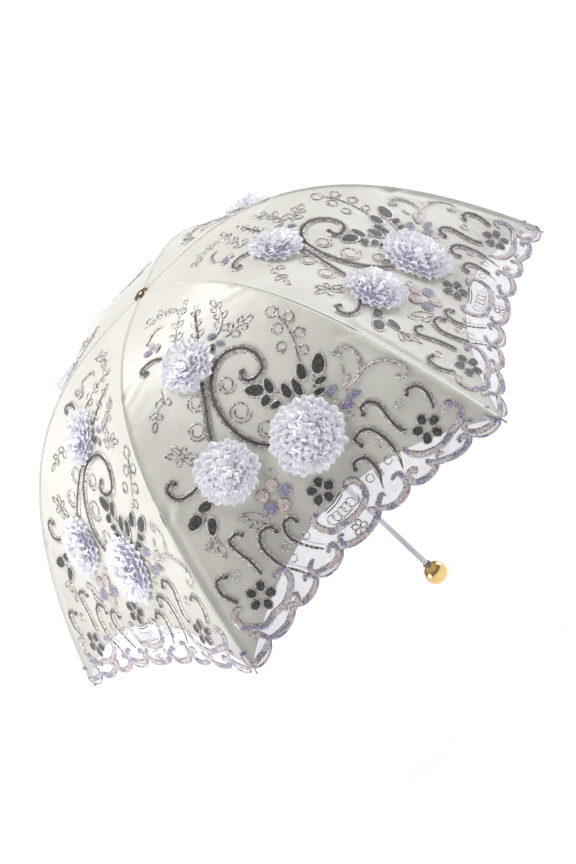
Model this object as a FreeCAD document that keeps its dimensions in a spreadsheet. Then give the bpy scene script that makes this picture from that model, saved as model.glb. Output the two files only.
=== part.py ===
import FreeCAD, Part
import math
import os
import Sketcher

# Folding lace parasol with six ribs, a telescoping shaft and a ball handle.
# Millimetres, +Z along the shaft towards the top, z = 0 at the flat under the ball.
# Ribs stand at multiples of 60 degrees; the canopy panels lie between them.

RIB_COUNT = 6
RIB_STEP = 360 / RIB_COUNT

sizes = {
    # canopy dome: drop below the apex = domeDepth * (radius / rimRadius) ^ domePower
    "rimRadius": 420, "domeDepth": 320, "domePower": 3.1, "apexHeight": 577.5,
    "fabricThickness": 0.6, "fabricHole": 6.5, "seamGap": 0.1,
    "archRise": 66, "hemRise": 22, "scallopDrop": 10,
    # telescoping shaft
    "lowerTubeRadius": 3.7, "middleTubeRadius": 4.4, "topTubeRadius": 5.1,
    "tubeWall": 0.65,
    "lowerTubeBase": 10, "middleTubeBase": 189, "topTubeBase": 348, "topTubeTop": 579.6,
    "tubeOverlap": 18,
    # ball handle
    "ballRadius": 16, "ballCentre": 14.5, "collarRadius": 5.6, "collarTop": 33.5,
    # notch and runner: two slotted crowns that carry the hinge pins
    "crownRadius": 12.5, "crownHeight": 7, "pivotRadius": 9.5, "slotFloor": 6.7, "slotWidth": 2.3,
    "crownPinRadius": 0.6, "pinGap": 0.05,
    "crownPinOverlap": 0.8,
    "sleeveRadius": 6.8, "sleeveLength": 27, "sleeveFlare": 8.6, "flareHeight": 3,
    "runnerGap": 0.07, "keyWidth": 3.4, "keyDepth": 1.2, "keywayHeight": 60,
    "catchHeight": 8, "catchDrop": 9, "catchSideGap": 0.3,
    # ribs
    "notchDrop": 8, "firstKnuckle": 197, "firstInset": 6, "secondKnuckle": 322, "secondInset": 7,
    "tipInset": 2.6, "topSag": 11, "middleSag": 9, "outerSag": 7,
    "channelWidth": 4.4, "channelHeight": 4, "channelSkin": 0.6,
    "barWidth": 2.4, "barHeight": 3, "barLane": 3.8, "wireRadius": 1.1,
    "rootTrim": 13, "rootBladeLength": 18, "kneeBossRadius": 2.6,
    "hollowStartTrim": 8, "hollowEndTrim": 6, "bracketHollow": 40, "hollowDrop": 5, "pinHole": 20,
    "bladeWidth": 2, "eyeRadius": 2.4, "kneePinRadius": 1, "smallPinRadius": 0.9,
    "stretcherSeat": 95, "stretcherDrop": 3, "bracketLength": 9,
    "tipLength": 8, "tipRadius": 1.5,
    # top cap
    "capRadius": 11, "capThickness": 1.4, "capGap": 0.3, "domeBossRadius": 7.4, "domeBossHeight": 3.2,
}

doc = FreeCAD.newDocument("LaceParasol")
sheet = doc.addObject("Spreadsheet::Sheet", "Sizes")
subParts = []
cellNames = []


def writeCell(alias, value):
    cellNames.append(alias)
    row = len(cellNames)
    sheet.set("A%d" % row, alias)
    sheet.set("B%d" % row, "%.6g" % value)
    sheet.setAlias("B%d" % row, alias)
    sizes[alias] = value


for sizeName, sizeValue in list(sizes.items()):
    writeCell(sizeName, sizeValue)


def domeDrop(radius):
    return sizes["domeDepth"] * (abs(radius) / sizes["rimRadius"]) ** sizes["domePower"]


def insetFromDome(radius, inset):
    """Point in the rib's plane, a set distance inside the canopy."""
    slope = sizes["domePower"] * domeDrop(radius) / radius
    stretch = math.hypot(1, slope)
    return (radius - inset * slope / stretch,
            sizes["apexHeight"] - domeDrop(radius) - inset / stretch)


def chordBetween(start, end):
    """Length of a rib segment and its direction in degrees from straight down."""
    outwards = end[0] - start[0]
    down = start[1] - end[1]
    return math.hypot(outwards, down), math.degrees(math.atan2(outwards, down))


notchPivot = (sizes["pivotRadius"], sizes["apexHeight"] - sizes["notchDrop"])
firstKnee = insetFromDome(sizes["firstKnuckle"], sizes["firstInset"])
secondKnee = insetFromDome(sizes["secondKnuckle"], sizes["secondInset"])
ribEnd = insetFromDome(sizes["rimRadius"], sizes["tipInset"])
topChord, topLean = chordBetween(notchPivot, firstKnee)
middleChord, middleLean = chordBetween(firstKnee, secondKnee)
outerChord, outerLean = chordBetween(secondKnee, ribEnd)

# The stretcher is as long as its seat is far from the notch pin, so the runner's pin stays
# at the same radius and the runner slides straight.
stretcherLength = math.hypot(sizes["stretcherSeat"], sizes["stretcherDrop"])
seatLean = topLean - math.degrees(math.atan2(sizes["stretcherDrop"], sizes["stretcherSeat"]))
runnerPivot = (sizes["pivotRadius"],
               notchPivot[1] - 2 * stretcherLength * math.cos(math.radians(seatLean)))

for segment, chord, sag in (("top", topChord, sizes["topSag"]),
                            ("middle", middleChord, sizes["middleSag"]),
                            ("outer", outerChord, sizes["outerSag"])):
    writeCell(segment + "Chord", chord)
    writeCell(segment + "Bend", chord ** 2 / (8 * sag) + sag / 2)
writeCell("stretcherLength", stretcherLength)
writeCell("notchBase", notchPivot[1] - sizes["crownHeight"] / 2)
writeCell("notchTop", notchPivot[1] + sizes["crownHeight"] / 2)
writeCell("runnerCrownBase", runnerPivot[1] - sizes["crownHeight"] / 2)
writeCell("runnerCrownTop", runnerPivot[1] + sizes["crownHeight"] / 2)
writeCell("sleeveBase", sizes["runnerCrownBase"] - sizes["sleeveLength"])
writeCell("flareTop", sizes["sleeveBase"] + sizes["flareHeight"])
writeCell("runnerBore", sizes["topTubeRadius"] + sizes["runnerGap"])
writeCell("hollowWidth", sizes["channelWidth"] - 2 * sizes["channelSkin"])
doc.recompute()


def aboutZ(degrees):
    return FreeCAD.Placement(FreeCAD.Vector(0, 0, 0), FreeCAD.Rotation(FreeCAD.Vector(0, 0, 1), degrees))


def at(x, y, z):
    return FreeCAD.Placement(FreeCAD.Vector(x, y, z), FreeCAD.Rotation())


def crosswise(x, z, width, lane=0):
    """Base placement of a cylinder lying along Y, centred on the lane."""
    turn = FreeCAD.Rotation(FreeCAD.Vector(1, 0, 0), 90)
    return FreeCAD.Placement(FreeCAD.Vector(x, lane + width / 2, z), turn)


def ribFrame(azimuth, pivot, lean):
    """Frame at a pivot: X along the segment, Z towards the canopy."""
    tilt = FreeCAD.Placement(FreeCAD.Vector(pivot[0], 0, pivot[1]),
                             FreeCAD.Rotation(FreeCAD.Vector(0, 1, 0), 90 - lean))
    return aboutZ(azimuth).multiply(tilt)


def primitive(kind, name, placement=None, **settings):
    """Part primitive whose sizes are numbers or expressions on the sheet."""
    shape = doc.addObject("Part::" + kind, name)
    for prop, value in settings.items():
        if isinstance(value, str):
            shape.setExpression(prop, value)
        else:
            setattr(shape, prop, value)
    if placement:
        shape.Placement = placement
    return shape


def cylinder(name, radius, height, placement=None, **settings):
    return primitive("Cylinder", name, placement, Radius=radius, Height=height, **settings)


def box(name, length, width, height, placement):
    return primitive("Box", name, placement, Length=length, Width=width, Height=height)


def cut(name, base, tool):
    result = doc.addObject("Part::Cut", name)
    result.Base = base
    result.Tool = tool
    return result


def fuse(name, pieces):
    result = doc.addObject("Part::MultiFuse", name)
    result.Shapes = pieces
    return result


def keep(label, item, placement=None):
    """Register a finished sub-part; its label names the file."""
    item.Label = label
    if placement:
        item.Placement = placement
    subParts.append(item)
    return item


def bentBar(name, chord, bend, inner, outer, width, lane=0, trimStart=0, trimEnd=0):
    """Bar bent to an arc between two pivots, its bulge towards +Z.

    inner and outer are the bar's faces measured from the arc's centre line."""
    radius = sizes[bend]
    halfAngle = math.degrees(math.asin(sizes[chord] / 2 / radius))
    startCut = math.degrees(trimStart / radius)
    endCut = math.degrees(trimEnd / radius)
    turn = FreeCAD.Rotation(FreeCAD.Vector(0, -1, 0), 90 - halfAngle + endCut)
    lay = FreeCAD.Rotation(FreeCAD.Vector(1, 0, 0), 90)
    centreDrop = radius * math.cos(math.radians(halfAngle))
    base = FreeCAD.Vector(sizes[chord] / 2, lane + sizes[width] / 2, -centreDrop)
    place = FreeCAD.Placement(base, turn.multiply(lay))
    sweep = "2 * asin(Sizes.%s / 2 / Sizes.%s) - %.6f deg" % (chord, bend, startCut + endCut)
    shell = cylinder(name + "Outer", "Sizes.%s + %.6g" % (bend, outer), "Sizes." + width, place, Angle=sweep)
    core = cylinder(name + "Inner", "Sizes.%s - %.6g" % (bend, inner), "Sizes." + width, place, Angle=sweep)
    return cut(name, shell, core)


def eye(name, x, z, radius, width, lane=0):
    return cylinder(name, radius, width, crosswise(x, z, width, lane))


def tube(label, radius, base, length):
    outer = cylinder(label + "Outer", radius, length, at(0, 0, base))
    inner = cylinder(label + "Inner", radius + " - Sizes.tubeWall", length, at(0, 0, base))
    return keep(label, cut(label, outer, inner))


def makeShaft():
    tube("tube_lower", "Sizes.lowerTubeRadius", sizes["lowerTubeBase"],
         "Sizes.middleTubeBase + Sizes.tubeOverlap - Sizes.lowerTubeBase")
    tube("tube_middle", "Sizes.middleTubeRadius", sizes["middleTubeBase"],
         "Sizes.topTubeBase + Sizes.tubeOverlap - Sizes.middleTubeBase")
    tube("tube_top", "Sizes.topTubeRadius", sizes["topTubeBase"],
         "Sizes.topTubeTop - Sizes.topTubeBase")


def makeBall():
    """Hollow-bored ball with a flat foot, and the collar that grips the tube."""
    centre = at(0, 0, sizes["ballCentre"])
    ball = primitive("Sphere", "ballSolid", centre, Radius="Sizes.ballRadius",
                     Angle1="-asin(Sizes.ballCentre / Sizes.ballRadius)")
    socket = cylinder("ballSocket", "Sizes.collarRadius", "2 * Sizes.ballRadius",
                      at(0, 0, sizes["lowerTubeBase"]))
    keep("handle_ball", cut("handleBall", ball, socket))
    sleeve = cylinder("collarOuter", "Sizes.collarRadius", "Sizes.collarTop - Sizes.lowerTubeBase",
                      at(0, 0, sizes["lowerTubeBase"]))
    bore = cylinder("collarBore", "Sizes.lowerTubeRadius", "Sizes.collarTop",
                    at(0, 0, sizes["lowerTubeBase"]))
    keep("handle_collar", cut("handleCollar", sleeve, bore))


def turnedSketch(body, name, corners):
    """Half section on the XZ plane; each corner is a pair of sheet aliases."""
    sketch = body.newObject("Sketcher::SketchObject", name)
    plane = [f for f in body.Origin.OriginFeatures if f.Role == "XZ_Plane"][0]
    sketch.AttachmentSupport = (plane, [""])
    sketch.MapMode = "FlatFace"
    points = [FreeCAD.Vector(sizes[r], sizes[z], 0) for r, z in corners]
    for i, start in enumerate(points):
        sketch.addGeometry(Part.LineSegment(start, points[(i + 1) % len(points)]), False)
    for i in range(len(points)):
        sketch.addConstraint(Sketcher.Constraint("Coincident", i, 2, (i + 1) % len(points), 1))
    for i, (r, z) in enumerate(corners):
        for direction, alias in (("DistanceX", r), ("DistanceY", z)):
            number = sketch.addConstraint(Sketcher.Constraint(direction, -1, 1, i, 1, sizes[alias]))
            sketch.setExpression("Constraints[%d]" % number, "Sizes." + alias)
    return sketch


def ringOf(body, feature, name):
    """The feature repeated about the shaft, once for each rib."""
    doc.recompute()
    ring = body.newObject("PartDesign::PolarPattern", name)
    ring.Originals = [feature]
    axis = [f for f in body.Origin.OriginFeatures if f.Role == "Z_Axis"][0]
    ring.Axis = (axis, [""])
    ring.Angle = 360
    ring.Occurrences = RIB_COUNT
    body.Tip = ring
    doc.recompute()


def crownBody(label, corners, pinHeight):
    """Turned crown with six slots and a pin across each slot."""
    body = doc.addObject("PartDesign::Body", label + "Body")
    outline = turnedSketch(body, label + "Outline", corners)
    turned = body.newObject("PartDesign::Revolution", label + "Turned")
    turned.Profile = outline
    turned.ReferenceAxis = (outline, ["V_Axis"])
    turned.Angle = 360
    doc.recompute()
    slot = body.newObject("PartDesign::SubtractiveBox", label + "Slot")
    slot.setExpression("Length", "Sizes.crownRadius")
    slot.setExpression("Width", "Sizes.slotWidth")
    slot.setExpression("Height", "Sizes.crownHeight + 2")
    slot.Placement = at(sizes["slotFloor"], -sizes["slotWidth"] / 2, pinHeight - sizes["crownHeight"] / 2 - 1)
    ringOf(body, slot, label + "SlotRing")
    pin = body.newObject("PartDesign::AdditiveCylinder", label + "Pin")
    pin.setExpression("Radius", "Sizes.crownPinRadius")
    pin.setExpression("Height", "Sizes.slotWidth + 2 * Sizes.crownPinOverlap")
    pin.Placement = crosswise(sizes["pivotRadius"], pinHeight,
                              sizes["slotWidth"] + 2 * sizes["crownPinOverlap"])
    ringOf(body, pin, label + "PinRing")
    return body


def makeNotch():
    corners = [("topTubeRadius", "notchBase"), ("crownRadius", "notchBase"),
               ("crownRadius", "notchTop"), ("topTubeRadius", "notchTop")]
    keep("notch", crownBody("notch", corners, notchPivot[1]))


def makeRunner():
    """Runner: slotted crown on a sleeve, with a flared grip and a keyway for the catch."""
    corners = [("runnerBore", "sleeveBase"), ("sleeveFlare", "sleeveBase"), ("sleeveFlare", "flareTop"),
               ("sleeveRadius", "flareTop"), ("sleeveRadius", "runnerCrownBase"),
               ("crownRadius", "runnerCrownBase"), ("crownRadius", "runnerCrownTop"),
               ("runnerBore", "runnerCrownTop")]
    body = crownBody("runner", corners, runnerPivot[1])
    doc.recompute()
    keyway = body.newObject("PartDesign::SubtractiveBox", "runnerKeyway")
    keyway.setExpression("Length", "Sizes.topTubeRadius + Sizes.keyDepth + 0.1")
    keyway.setExpression("Width", "Sizes.keyWidth")
    keyway.setExpression("Height", "Sizes.keywayHeight")
    keyway.Placement = aboutZ(RIB_STEP / 2).multiply(at(0, -sizes["keyWidth"] / 2, sizes["sleeveBase"] - 5))
    body.Tip = keyway
    keep("runner", body)


def makeCatch():
    """Spring catch standing out of the top tube under the open runner."""
    height = sizes["sleeveBase"] - sizes["catchDrop"]
    halfWidth = sizes["keyWidth"] / 2 - sizes["catchSideGap"]
    plate = box("catchPlate", "Sizes.keyDepth", "Sizes.keyWidth - 2 * Sizes.catchSideGap",
                "Sizes.catchHeight", at(sizes["topTubeRadius"], -halfWidth, height))
    seat = cylinder("catchSeat", "Sizes.topTubeRadius", "2 * Sizes.catchHeight",
                    at(0, 0, height - sizes["catchHeight"] / 2))
    keep("runner_catch", cut("runnerCatch", plate, seat), aboutZ(RIB_STEP / 2))


def makeCap():
    """Cap over the canopy's centre: a thin disc with a low boss, bored for the tube's end."""
    base = sizes["apexHeight"] + sizes["capGap"]
    disc = cylinder("capDisc", "Sizes.capRadius", "Sizes.capThickness", at(0, 0, base))
    bossTop = base + sizes["capThickness"]
    boss = primitive("Ellipsoid", "capBoss", at(0, 0, bossTop), Radius1="Sizes.domeBossHeight",
                     Radius2="Sizes.domeBossRadius", Angle1=0)
    socketBase = base - sizes["capThickness"]
    socket = cylinder("capSocket", "Sizes.topTubeRadius", sizes["topTubeTop"] - socketBase,
                      at(0, 0, socketBase))
    keep("top_cap", cut("topCap", fuse("capSolid", [disc, boss]), socket))


def makeTopRib(number, azimuth):
    """Channel open on its underside, with a root blade, a knee pin and a bracket for the stretcher."""
    tag = "topRib%d" % number
    halfHeight = sizes["channelHeight"] / 2
    skin = sizes["channelSkin"]
    channel = bentBar(tag + "Bar", "topChord", "topBend", halfHeight, halfHeight, "channelWidth",
                      trimStart=sizes["rootTrim"])
    kneeBoss = eye(tag + "KneeBoss", topChord, 0, sizes["kneeBossRadius"], sizes["channelWidth"])
    seatX = sizes["stretcherSeat"]
    seatZ = -sizes["stretcherDrop"]
    bracketHeight = sizes["topSag"] + sizes["stretcherDrop"]
    bracket = box(tag + "Bracket", "Sizes.bracketLength", "Sizes.channelWidth", bracketHeight,
                  at(seatX - sizes["bracketLength"] / 2, -sizes["channelWidth"] / 2, seatZ))
    bracketFoot = eye(tag + "BracketFoot", seatX, seatZ, sizes["bracketLength"] / 2, sizes["channelWidth"])
    outside = fuse(tag + "Outside", [channel, kneeBoss, bracket, bracketFoot])
    hollowBar = bentBar(tag + "HollowBar", "topChord", "topBend", halfHeight + 1, halfHeight - skin,
                        "hollowWidth", trimStart=sizes["hollowStartTrim"], trimEnd=sizes["hollowEndTrim"])
    hollowBracket = box(tag + "HollowBracket", "Sizes.bracketHollow", "Sizes.hollowWidth",
                        bracketHeight - halfHeight + sizes["hollowDrop"],
                        at(seatX - sizes["bracketHollow"] / 2, -sizes["hollowWidth"] / 2,
                           seatZ - sizes["hollowDrop"]))
    crown = bentBar(tag + "Crown", "topChord", "topBend", skin - halfHeight, halfHeight, "channelWidth",
                    trimStart=sizes["rootTrim"])
    bladeRoot = bentBar(tag + "BladeRoot", "topChord", "topBend", 1.4, halfHeight - skin / 3, "bladeWidth",
                        trimEnd=topChord - sizes["rootBladeLength"])
    rootEye = eye(tag + "RootEye", 0, 0, sizes["eyeRadius"], sizes["bladeWidth"])
    seatPin = cylinder(tag + "SeatPin", "Sizes.smallPinRadius", "Sizes.channelWidth",
                       crosswise(seatX, seatZ, sizes["channelWidth"]))
    kneeReach = sizes["barLane"] + sizes["barWidth"] / 2 + 0.4
    kneeBack = sizes["channelWidth"] / 2 + 0.4
    kneePin = cylinder(tag + "KneePin", "Sizes.kneePinRadius", kneeReach + kneeBack,
                       crosswise(topChord, 0, kneeReach + kneeBack, (kneeReach - kneeBack) / 2))
    opened = cut(tag + "Opened", outside, fuse(tag + "Hollow", [hollowBar, hollowBracket]))
    solid = fuse(tag + "Solid", [opened, crown, bladeRoot, rootEye, seatPin, kneePin])
    rootHole = cylinder(tag + "RootHole", "Sizes.crownPinRadius + Sizes.pinGap", "Sizes.pinHole",
                        crosswise(0, 0, sizes["pinHole"]))
    rib = cut(tag, solid, rootHole)
    keep("top_rib_%d" % number, rib, ribFrame(azimuth, notchPivot, topLean))


def makeStretcher(number, azimuth):
    """Flat bar from the runner's pin up to the bracket under the top rib."""
    tag = "stretcher%d" % number
    width = sizes["bladeWidth"]
    bar = box(tag + "Bar", "Sizes.stretcherLength", "Sizes.bladeWidth", "Sizes.barHeight",
              at(0, -width / 2, -sizes["barHeight"] / 2))
    solid = fuse(tag + "Solid", [bar, eye(tag + "RunnerEye", 0, 0, sizes["eyeRadius"], width),
                                 eye(tag + "SeatEye", stretcherLength, 0, sizes["eyeRadius"], width)])
    holes = fuse(tag + "Holes", [
        cylinder(tag + "RunnerHole", "Sizes.crownPinRadius + Sizes.pinGap", "Sizes.pinHole",
                 crosswise(0, 0, sizes["pinHole"])),
        cylinder(tag + "SeatHole", "Sizes.smallPinRadius + Sizes.pinGap", "Sizes.pinHole",
                 crosswise(stretcherLength, 0, sizes["pinHole"]))])
    keep("stretcher_%d" % number, cut(tag, solid, holes),
         ribFrame(azimuth, runnerPivot, 180 - seatLean))


def makeMiddleRib(number, azimuth):
    """Bar beside the top rib's plane, so that it folds back alongside it."""
    tag = "middleRib%d" % number
    half = sizes["barHeight"] / 2
    lane = sizes["barLane"]
    width = sizes["barWidth"]
    bossStart = sizes["wireRadius"] + 0.2
    bossWidth = lane + width / 2 - bossStart
    bar = bentBar(tag + "Bar", "middleChord", "middleBend", half, half, "barWidth", lane)
    startEye = eye(tag + "StartEye", 0, 0, sizes["eyeRadius"], width, lane)
    endBoss = eye(tag + "EndBoss", middleChord, 0, sizes["eyeRadius"], bossWidth,
                  bossStart + bossWidth / 2)
    pinBack = sizes["wireRadius"] + 0.5
    kneePin = cylinder(tag + "KneePin", "Sizes.smallPinRadius", lane + pinBack,
                       crosswise(middleChord, 0, lane + pinBack, (lane - pinBack) / 2))
    solid = fuse(tag + "Solid", [bar, startEye, endBoss, kneePin])
    hole = cylinder(tag + "Hole", "Sizes.kneePinRadius + Sizes.pinGap", "Sizes.pinHole",
                    crosswise(0, 0, sizes["pinHole"]))
    keep("middle_rib_%d" % number, cut(tag, solid, hole), ribFrame(azimuth, firstKnee, middleLean))


def makeOuterRib(number, azimuth):
    """Sprung wire from the second knee to the rim."""
    tag = "outerRib%d" % number
    radius = sizes["outerBend"]
    halfAngle = math.degrees(math.asin(outerChord / 2 / radius))
    turn = FreeCAD.Rotation(FreeCAD.Vector(0, -1, 0), 90 - halfAngle)
    lay = FreeCAD.Rotation(FreeCAD.Vector(1, 0, 0), 90)
    centre = FreeCAD.Vector(outerChord / 2, 0, -radius * math.cos(math.radians(halfAngle)))
    wire = primitive("Torus", tag + "Wire", FreeCAD.Placement(centre, turn.multiply(lay)),
                     Radius1="Sizes.outerBend", Radius2="Sizes.wireRadius",
                     Angle3="2 * asin(Sizes.outerChord / 2 / Sizes.outerBend)")
    knee = eye(tag + "Knee", 0, 0, sizes["eyeRadius"], 2 * sizes["wireRadius"])
    hole = cylinder(tag + "Hole", "Sizes.smallPinRadius + Sizes.pinGap", "Sizes.pinHole",
                    crosswise(0, 0, sizes["pinHole"]))
    frame = ribFrame(azimuth, secondKnee, outerLean)
    keep("outer_rib_%d" % number, cut(tag, fuse(tag + "Solid", [wire, knee]), hole), frame)
    # Plated tip on the wire's end, along its tangent.
    tipTag = "ribTip%d" % number
    barrel = cylinder(tipTag + "Barrel", "Sizes.tipRadius", "Sizes.tipLength")
    bead = primitive("Sphere", tipTag + "Bead", at(0, 0, sizes["tipLength"]), Radius="Sizes.tipRadius + 0.3")
    tangent = FreeCAD.Placement(FreeCAD.Vector(outerChord, 0, 0),
                                FreeCAD.Rotation(FreeCAD.Vector(0, 1, 0), 90 + halfAngle))
    keep("rib_tip_%d" % number, fuse(tipTag, [barrel, bead]), frame.multiply(tangent))


def gore():
    """Panel between two ribs: level straight lines from rib to rib under the dome's curve."""
    shrink = math.cos(math.radians(RIB_STEP / 2))
    hole = sizes["fabricHole"]
    rim = sizes["rimRadius"]
    steps = 14
    stations = [hole + (rim - hole) * i / steps for i in range(steps + 1)]
    outer = []
    inner = []
    for radius in stations:
        x = radius * shrink
        z = sizes["apexHeight"] - domeDrop(radius)
        slope = sizes["domePower"] * domeDrop(radius) / radius / shrink
        stretch = math.hypot(1, slope)
        thickness = sizes["fabricThickness"]
        outer.append(FreeCAD.Vector(x, 0, z))
        inner.append(FreeCAD.Vector(x - thickness * slope / stretch, 0, z - thickness / stretch))
    curves = []
    for points in (outer, inner):
        curve = Part.BSplineCurve()
        curve.interpolate(points)
        curves.append(curve.toShape())
    ends = [Part.makeLine(outer[0], inner[0]), Part.makeLine(outer[-1], inner[-1])]
    section = Part.Face(Part.Wire(Part.__sortEdges__(curves + ends)))
    band = section.extrude(FreeCAD.Vector(0, 2 * rim, 0))
    band.translate(FreeCAD.Vector(0, -rim, 0))
    reach = 2 * rim
    spread = reach * math.tan(math.radians(RIB_STEP / 2))
    start = FreeCAD.Vector(2 * sizes["seamGap"], 0, 0)
    wedge = Part.Face(Part.makePolygon([start, FreeCAD.Vector(reach, -spread, 0),
                                        FreeCAD.Vector(reach, spread, 0), start]))
    return band.common(wedge.extrude(FreeCAD.Vector(0, 0, 2 * sizes["apexHeight"])))


def across(outline):
    """Solid through the panel from an outline in the YZ plane."""
    block = Part.Face(Part.Wire(outline)).extrude(FreeCAD.Vector(2 * sizes["rimRadius"], 0, 0))
    return block


def inPanel(y, z):
    return FreeCAD.Vector(0, y, sizes["apexHeight"] - sizes["domeDepth"] + z)


def underArch(rise, drop):
    """Region below an arch that springs from the panel's two lower corners."""
    half = sizes["rimRadius"] * math.sin(math.radians(RIB_STEP / 2))
    left, crown, right = inPanel(-half, 0), inPanel(0, rise), inPanel(half, 0)
    low = [inPanel(half, -drop), inPanel(-half, -drop)]
    arc = Part.Arc(left, crown, right).toShape()
    return [arc, Part.makeLine(right, low[0]), Part.makeLine(low[0], low[1]), Part.makeLine(low[1], left)]


def scallopJoints():
    """Where the border's nine lobes meet, from rib to rib along the hem's arch."""
    half = sizes["rimRadius"] * math.sin(math.radians(RIB_STEP / 2))
    shares = (1, 0.81, 0.58, 0.37, 0.155)
    offsets = [-half * s for s in shares] + [half * s for s in reversed(shares)]
    return [inPanel(y, sizes["hemRise"] * (1 - (y / half) ** 2)) for y in offsets]


def belowScallops():
    """Region under the scalloped hem."""
    joints = scallopJoints()
    edges = []
    for left, right in zip(joints, joints[1:]):
        lowest = (left + right) * 0.5 - FreeCAD.Vector(0, 0, sizes["scallopDrop"])
        edges.append(Part.Arc(left, lowest, right).toShape())
    below = FreeCAD.Vector(0, 0, sizes["archRise"])
    low = [joints[-1] - below, joints[0] - below]
    edges += [Part.makeLine(joints[-1], low[0]), Part.makeLine(low[0], low[1]),
              Part.makeLine(low[1], joints[0])]
    return edges


def makeCanopy():
    panel = gore()
    archBlock = across(underArch(sizes["archRise"], sizes["archRise"]))
    coated = panel.cut(archBlock)
    border = panel.common(archBlock).cut(across(belowScallops()))
    for number in range(1, RIB_COUNT + 1):
        place = aboutZ(RIB_STEP * (number - 0.5))
        for label, shape in (("canopy_panel_%d" % number, coated), ("lace_border_%d" % number, border)):
            item = doc.addObject("Part::Feature", label.replace("_", ""))
            item.Shape = shape
            keep(label, item, place)


makeShaft()
makeBall()
makeNotch()
makeRunner()
makeCatch()
makeCap()
for ribNumber in range(1, RIB_COUNT + 1):
    ribAzimuth = RIB_STEP * (ribNumber - 1)
    makeTopRib(ribNumber, ribAzimuth)
    makeStretcher(ribNumber, ribAzimuth)
    makeMiddleRib(ribNumber, ribAzimuth)
    makeOuterRib(ribNumber, ribAzimuth)
makeCanopy()
doc.recompute()

for item in doc.Objects:
    if "Invalid" in item.State or "Error" in item.State:
        raise RuntimeError("%s did not recompute: %s" % (item.Label, item.State))

os.makedirs("parts", exist_ok=True)
for item in subParts:
    shape = item.Shape
    if shape.isNull() or not shape.isValid():
        raise RuntimeError("%s has no valid shape" % item.Label)
    print("%-16s solids %d volume %.1f" % (item.Label, len(shape.Solids), shape.Volume))
    shape.exportStep("parts/%s.step" % item.Label)

for name, pivot, lean in (("notch pin", notchPivot, topLean), ("first knee", firstKnee, middleLean),
                          ("second knee", secondKnee, outerLean), ("runner pin", runnerPivot, seatLean)):
    print("%-12s r %.3f z %.3f lean %.3f" % (name, pivot[0], pivot[1], lean))
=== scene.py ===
from math import cos, pi, radians, sin, sqrt
from random import Random

import bmesh
import bpy
import numpy as np
from mathutils import Matrix, Vector
from mathutils.geometry import interpolate_bezier


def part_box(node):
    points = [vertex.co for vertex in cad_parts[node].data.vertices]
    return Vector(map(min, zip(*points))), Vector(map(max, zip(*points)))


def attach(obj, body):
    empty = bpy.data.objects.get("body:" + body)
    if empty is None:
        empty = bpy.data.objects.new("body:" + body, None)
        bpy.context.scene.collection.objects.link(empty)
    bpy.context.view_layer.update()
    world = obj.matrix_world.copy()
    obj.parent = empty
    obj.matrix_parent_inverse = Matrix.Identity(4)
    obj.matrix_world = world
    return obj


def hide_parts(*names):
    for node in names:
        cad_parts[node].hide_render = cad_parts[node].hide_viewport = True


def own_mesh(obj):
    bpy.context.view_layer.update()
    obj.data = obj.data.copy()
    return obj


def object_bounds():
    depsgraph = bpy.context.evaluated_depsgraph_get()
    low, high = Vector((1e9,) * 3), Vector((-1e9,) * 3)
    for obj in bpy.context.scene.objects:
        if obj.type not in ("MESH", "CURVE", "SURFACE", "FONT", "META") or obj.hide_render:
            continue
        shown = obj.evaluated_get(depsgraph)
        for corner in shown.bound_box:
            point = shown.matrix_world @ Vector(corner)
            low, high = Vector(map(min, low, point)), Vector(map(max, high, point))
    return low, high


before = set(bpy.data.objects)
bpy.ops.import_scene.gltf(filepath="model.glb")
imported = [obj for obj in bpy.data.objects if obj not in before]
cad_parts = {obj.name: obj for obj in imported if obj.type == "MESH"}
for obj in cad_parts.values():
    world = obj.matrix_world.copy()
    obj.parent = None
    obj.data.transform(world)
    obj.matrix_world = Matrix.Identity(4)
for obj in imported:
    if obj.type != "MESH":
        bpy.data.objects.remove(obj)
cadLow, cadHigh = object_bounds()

# The canopy is worked flat, one panel at a time, and then laid over the dome:
# across = along the panel from seam to seam, run = down its middle from the top, lift = off the cloth.
canopy = {
    "ribs": 6,
    "domePower": 3.1,        # how the dome's drop grows with its radius
    "seamHole": 0.0065,      # opening round the shaft
    "topKnee": 0.197,        # where the ribs fold, as radius along a rib
    "outerKnee": 0.322,
    "archRise": 0.066,       # the coated cloth ends in an arch over the lace
    "hemRise": 0.022,
    "lobeDrop": 0.010,
    "lobeShares": (1, 0.81, 0.58, 0.37, 0.155),
    "sag": 0.0035,           # dip of a panel between its ribs
    "slack": 0.0012,         # low waves in the cloth
    "seamRidge": 0.0009,     # ridge over each rib, and how far it reaches
    "ridgeReach": 0.0022,
    "pucker": 0.0022,        # gather where the cloth is tied to a rib joint
    "puckerAlong": 0.012,
    "puckerAside": 0.028,
    "boundEdge": 0.0015,     # nearer the seam than this the cloth isn't gathered
    "pleatStart": 0.300,     # from this radius out the cloth is pleated beside the seam
    "pleats": ((-0.0013, 0.0075, 0.0040), (0.0005, 0.017, 0.006)),   # lift, place from the seam, reach
    "keepWhenFolded": 0.08,
}

panelLow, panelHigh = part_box("canopy_panel_1")
rimRadius = panelHigh.x
domeTop = panelHigh.z
domeDepth = domeTop - panelLow.z
halfPanel = radians(180 / canopy["ribs"])
halfRim = rimRadius * sin(halfPanel)


def domeHeight(radius):
    return domeTop - domeDepth * (radius / rimRadius) ** canopy["domePower"]


radii = np.linspace(0, rimRadius * 1.04, 2400)
slopes = -domeDepth * canopy["domePower"] / rimRadius / cos(halfPanel) * (
    (radii / rimRadius) ** (canopy["domePower"] - 1))
steps = np.diff(radii) * cos(halfPanel) * np.sqrt(1 + ((slopes[1:] + slopes[:-1]) / 2) ** 2)
runs = np.concatenate(([0], np.cumsum(steps)))


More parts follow.
